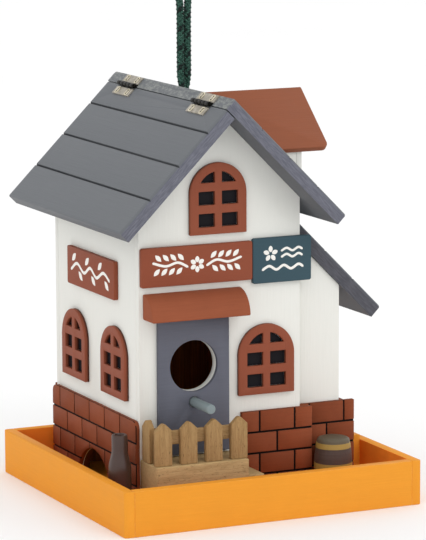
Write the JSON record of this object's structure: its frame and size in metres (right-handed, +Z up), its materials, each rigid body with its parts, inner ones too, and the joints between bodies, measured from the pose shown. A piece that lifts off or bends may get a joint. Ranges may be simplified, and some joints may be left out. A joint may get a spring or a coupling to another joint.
{
  "type": "birdhouse",
  "caption": "Painted wooden birdhouse shaped like a cottage with a lean-to and dormer, standing in a shallow tray, with a hinged roof half, entrance hole, perch and hanging cord.",
  "frame": {"origin": "centre of the tray's underside", "axes": "+Z up, +Y from the entrance side to the back, +X to the side with the lean-to"},
  "size_m": [0.2, 0.2095, 0.3505],
  "materials": {
    "tray": "satin paint",
    "wall": "matte paint",
    "roof": "matte paint",
    "trim": "matte paint",
    "brick": "matte paint",
    "door": "matte paint",
    "sign_dark": "matte paint",
    "bare_wood": "stained",
    "dark_wood": "satin paint",
    "hinge": "plated",
    "cord": "braided"
  },
  "bodies": {
    "house": {"tray_floor": "tray", "tray_left": "tray", "tray_right": "tray", "tray_front": "tray", "tray_back": "tray", "tray_divider": "tray", "wall_front": "wall", "wall_back": "wall", "wall_left": "wall", "wall_right": "wall", "annex_front": "wall", "annex_back": "wall", "annex_side": "wall", "roof_fixed": "roof", "annex_roof": "roof", "dormer_gable": "wall", "dormer_cheek_front": "wall", "dormer_cheek_back": "wall", "dormer_roof_front": "trim", "dormer_roof_back": "trim", "plinth_left": "brick", "plinth_front": "brick", "plinth_back": "brick", "plinth_annex_front": "brick", "plinth_annex_side": "brick", "plinth_annex_back": "brick", "door_panel": "door", "door_awning": "trim", "perch": "door", "sign_side": "trim", "sign_front": "trim", "sign_corner": "sign_dark", "window_attic": "trim", "window_front": "trim", "window_side_front": "trim", "window_side_back": "trim", "porch_block": "bare_wood", "porch_step": "bare_wood", "picket_1": "bare_wood", "picket_2": "bare_wood", "picket_3": "bare_wood", "picket_4": "bare_wood", "picket_side": "bare_wood", "rail_front": "bare_wood", "rail_side": "bare_wood", "bottle": "dark_wood", "barrel": "dark_wood", "hinge_leaf_ridge_front": "hinge", "hinge_leaf_ridge_back": "hinge", "hinge_pin_front": "hinge", "hinge_pin_back": "hinge", "nails_ridge": "hinge", "hanging_cord": "cord", "cord_knot": "cord"},
    "lid": {"roof_lid": "roof", "hinge_leaf_lid_front": "hinge", "hinge_leaf_lid_back": "hinge", "nails_lid": "hinge"}
  },
  "joints": [
    {"name": "lid_hinge", "type": "hinge", "parent": "house", "child": "lid", "pos_m": [-0.02064, 0.02, 0.25066], "axis": [0, 1, 0], "range_deg": [0, 130]}
  ]
}
